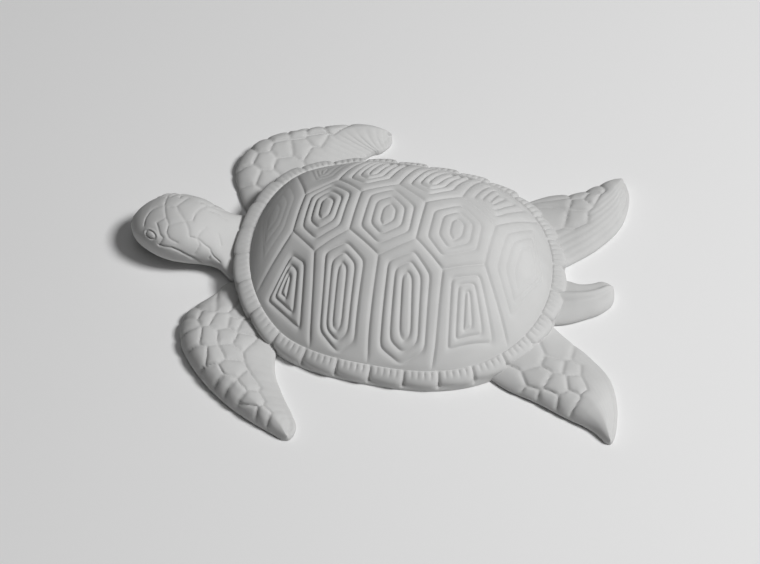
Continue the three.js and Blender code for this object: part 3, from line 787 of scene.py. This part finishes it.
def make_limb(name, limb):
    share = TIP_SHARE * (1.0 - (1.0 - np.linspace(0.0, 1.0, limb["stations"])) ** TIP_CROWDING)
    outline = limb["leading"] + limb["trailing"][-2::-1]
    start = spline(outline, share / 2.0)
    end = spline(outline, 1.0 - share / 2.0)
    lead = curve_values(limb["lead_height"], share)
    trail = curve_values(limb["trail_height"], share)
    around = limb["around"]
    grid = np.zeros((len(share), around, 3))
    across = np.zeros((len(share), around))
    for i in range(len(share)):
        width = float(np.linalg.norm(end[i] - start[i]))
        controls = section_controls(width, lead[i], trail[i], limb["crown"], limb["trail_round"])
        section = spline(controls, np.linspace(0.0, 1.0, SECTION_POINTS))
        run = np.concatenate([[0.0], np.cumsum(np.linalg.norm(np.diff(section, axis=0), axis=1))])
        wanted = np.linspace(0.0, run[-1], around)
        inside = np.interp(wanted, run, section[:, 0]) / width
        grid[i, :, :2] = start[i] + (end[i] - start[i]) * inside[:, None]
        grid[i, :, 2] = np.interp(wanted, run, section[:, 1])
        across[i] = inside
    normal = grid_normals(grid, False)
    middle = len(share) // 2
    if normal[middle, around // 2, 2] < 0.0:
        normal = -normal
    cut = np.zeros(grid.shape[:2])
    if limb["scales"]:
        flat = grid[:, :, :2].reshape(-1, 2)
        x, y = (flat * WANDER_RATE).T
        wavy = flat + LINE_WANDER * np.column_stack([ripple(x, y, 5.0), ripple(y, x, 6.0)])
        distance, on_scale = scale_relief(wavy, limb["scales"], limb["web"])
        lines = SCALE_LINE_SHARE * bell(distance, SCALE_WIDTH)
        lines = lines + SCALE_PILLOW_SHARE * bell(distance, SCALE_PILLOW)
        cut += SCALE_DEPTH * lines.reshape(cut.shape)
        on_web = (~on_scale).reshape(cut.shape) * np.clip(distance.reshape(cut.shape) / WEB_EASE, 0.0, 1.0)
        place = np.broadcast_to(share[:, None], cut.shape)
        if limb["ribs"] == "across":
            phase = place * RIBS_ACROSS[0] + across * RIBS_ACROSS[1]
        else:
            phase = across * RIBS_ALONG[0] + place * RIBS_ALONG[1]
        edge_hold = np.clip((across - RIB_FROM) * RIB_EASE, 0.0, 1.0)
        cut += limb["rib_depth"] * on_web * edge_hold * (0.5 - 0.5 * np.cos(phase * math.pi)) ** 3
    fade = np.clip((grid[:, :, 2] - LINE_LOWEST) / LINE_EASE, 0.0, 1.0)
    grid = grid - normal * (cut * fade)[:, :, None]
    surface = Surface()
    flip = np.cross(end[middle] - start[middle], start[middle] - start[0]) < 0.0
    loops = []
    for row in grid:
        loop = surface.add(row)
        loops.append(loop[::-1] if flip else loop)
    for before, after in zip(loops, loops[1:]):
        surface.band(before, after)
    tip = limb["leading"][-1]
    tip_height = limb["lead_height"][-1] * TIP_LOW
    root = (start[0] + end[0]) / 2.0
    surface.fan(loops[-1], surface.add([tip[0], tip[1], tip_height])[0])
    surface.fan(loops[0][::-1], surface.add([root[0], root[1], tip_height])[0])
    return surface.build(name)


# Head
def distance_to_line(points, line):
    line = np.asarray(line, float)
    best = np.full(len(points), 1e9)
    for a, b in zip(line, line[1:]):
        run = b - a
        share = np.clip(((points - a) @ run) / (run @ run), 0.0, 1.0)
        best = np.minimum(best, np.linalg.norm(points - a - share[:, None] * run, axis=1))
    return best


def on_surface(points, line):
    """Moves each point of a line to the nearest point of a form, so that the line lies on it."""
    gaps = np.linalg.norm(points[None, :, :] - np.asarray(line, float)[:, None, :], axis=2)
    return points[gaps.argmin(axis=1)]


def mirrored(line):
    return [(x, 2.0 * HEAD_PLANE_Y - y, z) for x, y, z in line]


def eye_relief(points, eye, axis):
    """A rounded almond of an eye in a lidded socket."""
    offset = points - np.array(eye)
    along = offset @ np.array(axis)
    across = np.sqrt(np.maximum((offset * offset).sum(axis=1) - along * along, 0.0))
    distance = np.hypot(along / EYE_LENGTH, across / EYE_HEIGHT)
    ball = EYE_RISE * np.sqrt(np.clip(1.0 - distance ** 2, 0.0, 1.0))
    socket = -SOCKET_DEPTH * bell(distance - SOCKET_AT, SOCKET_WIDTH)
    lid = LID_RISE * bell(distance - LID_AT, LID_WIDTH)
    return ball + socket + lid


def make_head():
    share = np.linspace(0.0, 1.0, HEAD_ROWS)
    x = curve_values(HEAD_STATIONS, share)
    middle_y = curve_values(HEAD_MIDDLE_Y, share)
    half = curve_values(HEAD_HALF_WIDTH, share)
    top = curve_values(HEAD_TOP, share)
    middle_z = curve_values(HEAD_MIDDLE_Z, share)
    bottom = curve_values(HEAD_BOTTOM, share)
    above = np.arange(HEAD_ABOVE) / HEAD_ABOVE
    below = 1.0 + np.arange(HEAD_BELOW) / HEAD_BELOW
    angle = math.pi * np.concatenate([above, below])
    side = np.sign(np.cos(angle)) * np.abs(np.cos(angle)) ** HEAD_ROUND
    lift = np.sign(np.sin(angle)) * np.abs(np.sin(angle)) ** HEAD_ROUND
    reach = np.where(lift > 0.0, (top - middle_z)[:, None], (middle_z - bottom)[:, None])
    grid = np.zeros((HEAD_ROWS, len(angle), 3))
    grid[:, :, 0] = x[:, None]
    grid[:, :, 1] = middle_y[:, None] - half[:, None] * side
    grid[:, :, 2] = middle_z[:, None] + reach * lift
    normal = grid_normals(grid, True)
    if normal[HEAD_ROWS // 2, HEAD_ABOVE // 2, 2] < 0.0:
        normal = -normal
    points = grid.reshape(-1, 3)
    distance = np.full(len(points), 1e9)
    for line in HEAD_LINES + SIDE_LINES:
        distance = np.minimum(distance, distance_to_line(points, on_surface(points, line)))
    hidden = points[:, 1] > HIDDEN_SIDE_Y
    for line in SIDE_LINES:
        copied = distance_to_line(points, on_surface(points, mirrored(line)))
        distance = np.where(hidden, np.minimum(distance, copied), distance)
    lines = LINE_SHARE * bell(distance, LINE_WIDTH) + LINE_PILLOW_SHARE * bell(distance, LINE_PILLOW)
    relief = -LINE_DEPTH * lines
    for line in (MOUTH_LINE, mirrored(MOUTH_LINE)):
        relief -= MOUTH_DEPTH * bell(distance_to_line(points, on_surface(points, line)), MOUTH_WIDTH)
    other_axis = (EYE_AXIS[0], -EYE_AXIS[1], EYE_AXIS[2])
    for eye, axis in ((EYE, EYE_AXIS), (mirrored([EYE])[0], other_axis)):
        relief += eye_relief(points, on_surface(points, [eye])[0], axis)
    grid = (points + normal.reshape(-1, 3) * relief[:, None]).reshape(grid.shape)
    surface = Surface()
    loops = [surface.add(row) for row in grid]
    for before, after in zip(loops, loops[1:]):
        surface.band(before, after)
    surface.fan(loops[-1], surface.add([x[-1] - SNOUT_TIP, middle_y[-1], middle_z[-1]])[0])
    surface.fan(loops[0][::-1], surface.add([x[0], middle_y[0], middle_z[0]])[0])
    return surface.build("head")


# Joining the forms into one casting
def only_select(chosen):
    bpy.ops.object.select_all(action="DESELECT")
    chosen.select_set(True)
    bpy.context.view_layer.objects.active = chosen


def merge_points(chosen):
    only_select(chosen)
    bpy.ops.object.mode_set(mode="EDIT")
    bpy.ops.mesh.select_all(action="SELECT")
    bpy.ops.mesh.remove_doubles(threshold=MERGE_GAP)
    bpy.ops.object.mode_set(mode="OBJECT")


def combine(body, other, operation):
    only_select(body)
    modifier = body.modifiers.new("combine", "BOOLEAN")
    modifier.operation = operation
    modifier.object = other
    modifier.solver = "MANIFOLD"
    bpy.ops.object.modifier_apply(modifier=modifier.name)
    bpy.data.objects.remove(other)


def make_turtle():
    body = make_shell()
    merge_points(body)
    limbs = {
        "front_left": FRONT_LEFT, "front_right": FRONT_RIGHT, "rear_left": REAR_LEFT,
        "rear_right": REAR_RIGHT, "tail": TAIL,
    }
    for name, limb in limbs.items():
        other = make_limb(name, limb)
        merge_points(other)
        combine(body, other, "UNION")
    head = make_head()
    merge_points(head)
    combine(body, head, "UNION")
    bpy.ops.mesh.primitive_cube_add(size=1.0, location=(0.0, 0.0, -GROUND_SIZE[2] / 2.0))
    ground = bpy.context.object
    ground.scale = GROUND_SIZE
    bpy.ops.object.transform_apply(location=True, rotation=True, scale=True)
    combine(body, ground, "DIFFERENCE")
    body.name = "sea_turtle_carved"
    only_select(body)
    bpy.ops.object.shade_smooth_by_angle(angle=math.radians(SMOOTH_ANGLE))
    return body


# Bisque ceramic
def bisque_material():
    material = bpy.data.materials.new("bisque_ceramic")
    material.use_nodes = True
    nodes = material.node_tree.nodes
    links = material.node_tree.links
    shader = nodes["Principled BSDF"]
    place = nodes.new("ShaderNodeTexCoord")
    cloud = nodes.new("ShaderNodeTexNoise")
    cloud.inputs["Scale"].default_value = CLOUD_SCALE
    cloud.inputs["Detail"].default_value = 4.0
    links.new(place.outputs["Object"], cloud.inputs["Vector"])
    tint = nodes.new("ShaderNodeValToRGB")
    tint.color_ramp.elements[0].position = 0.3
    tint.color_ramp.elements[0].color = BISQUE_DARK
    tint.color_ramp.elements[1].position = 0.7
    tint.color_ramp.elements[1].color = BISQUE_PALE
    links.new(cloud.outputs["Fac"], tint.inputs["Fac"])
    links.new(tint.outputs["Color"], shader.inputs["Base Color"])
    grain = nodes.new("ShaderNodeTexNoise")
    grain.inputs["Scale"].default_value = GRAIN_SCALE
    grain.inputs["Detail"].default_value = 3.0
    links.new(place.outputs["Object"], grain.inputs["Vector"])
    rough = nodes.new("ShaderNodeMapRange")
    rough.inputs["To Min"].default_value = ROUGHNESS[0]
    rough.inputs["To Max"].default_value = ROUGHNESS[1]
    links.new(grain.outputs["Fac"], rough.inputs["Value"])
    links.new(rough.outputs["Result"], shader.inputs["Roughness"])
    bump = nodes.new("ShaderNodeBump")
    bump.inputs["Strength"].default_value = GRAIN_STRENGTH
    bump.inputs["Distance"].default_value = GRAIN_HEIGHT
    links.new(grain.outputs["Fac"], bump.inputs["Height"])
    links.new(bump.outputs["Normal"], shader.inputs["Normal"])
    shader.inputs["Specular IOR Level"].default_value = GLOSS
    return material


# Floor, light and camera
def make_floor():
    bpy.ops.mesh.primitive_plane_add(size=FLOOR_SIZE, location=(0.0, 0.0, -FLOOR_DROP))
    floor = bpy.context.object
    floor.name = "floor"
    material = bpy.data.materials.new("pale_floor")
    material.use_nodes = True
    shader = material.node_tree.nodes["Principled BSDF"]
    shader.inputs["Base Color"].default_value = FLOOR_TONE
    shader.inputs["Roughness"].default_value = FLOOR_ROUGHNESS
    floor.data.materials.append(material)


def add_light(name, place, size, power):
    """A square soft light that faces the middle of the part."""
    data = bpy.data.lights.new(name, "AREA")
    data.size = size
    data.energy = power
    lamp = bpy.data.objects.new(name, data)
    bpy.context.scene.collection.objects.link(lamp)
    lamp.location = place
    direction = np.array(LIGHT_AIM) - np.array(place)
    flat = math.hypot(direction[0], direction[1])
    lamp.rotation_euler = (math.atan2(flat, -direction[2]), 0.0, math.atan2(-direction[0], direction[1]))


def make_world(strength):
    world = bpy.data.worlds.new("studio")
    bpy.context.scene.world = world
    world.use_nodes = True
    background = world.node_tree.nodes["Background"]
    background.inputs["Color"].default_value = (1.0, 1.0, 1.0, 1.0)
    background.inputs["Strength"].default_value = strength


def make_camera():
    azimuth = math.radians(CAMERA_AZIMUTH)
    elevation = math.radians(CAMERA_ELEVATION)
    data = bpy.data.cameras.new("camera")
    data.sensor_width = 36.0
    data.lens = CAMERA_LENS
    camera = bpy.data.objects.new("camera", data)
    bpy.context.scene.collection.objects.link(camera)
    camera.location = (
        AIM[0] + CAMERA_DISTANCE * math.sin(azimuth) * math.cos(elevation),
        AIM[1] - CAMERA_DISTANCE * math.cos(azimuth) * math.cos(elevation),
        AIM[2] + CAMERA_DISTANCE * math.sin(elevation),
    )
    camera.rotation_euler = (math.pi / 2.0 - elevation, 0.0, azimuth)
    bpy.context.scene.camera = camera


bpy.context.scene.view_settings.view_transform = "Standard"
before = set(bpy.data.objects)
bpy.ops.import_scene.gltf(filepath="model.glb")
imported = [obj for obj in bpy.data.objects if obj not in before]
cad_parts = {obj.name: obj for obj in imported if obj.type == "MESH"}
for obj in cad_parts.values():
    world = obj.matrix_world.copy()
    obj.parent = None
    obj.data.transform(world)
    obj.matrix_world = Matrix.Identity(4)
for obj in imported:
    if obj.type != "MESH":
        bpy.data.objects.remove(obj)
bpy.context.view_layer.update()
turtle = make_turtle()
turtle.data.materials.clear()
turtle.data.materials.append(bisque_material())
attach(turtle, "root")
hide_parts("sea_turtle")
make_floor()
make_world(WORLD_STRENGTH)
add_light("key", KEY_PLACE, KEY_SIZE, KEY_POWER)
add_light("overhead", OVERHEAD_PLACE, OVERHEAD_SIZE, OVERHEAD_POWER)
make_camera()
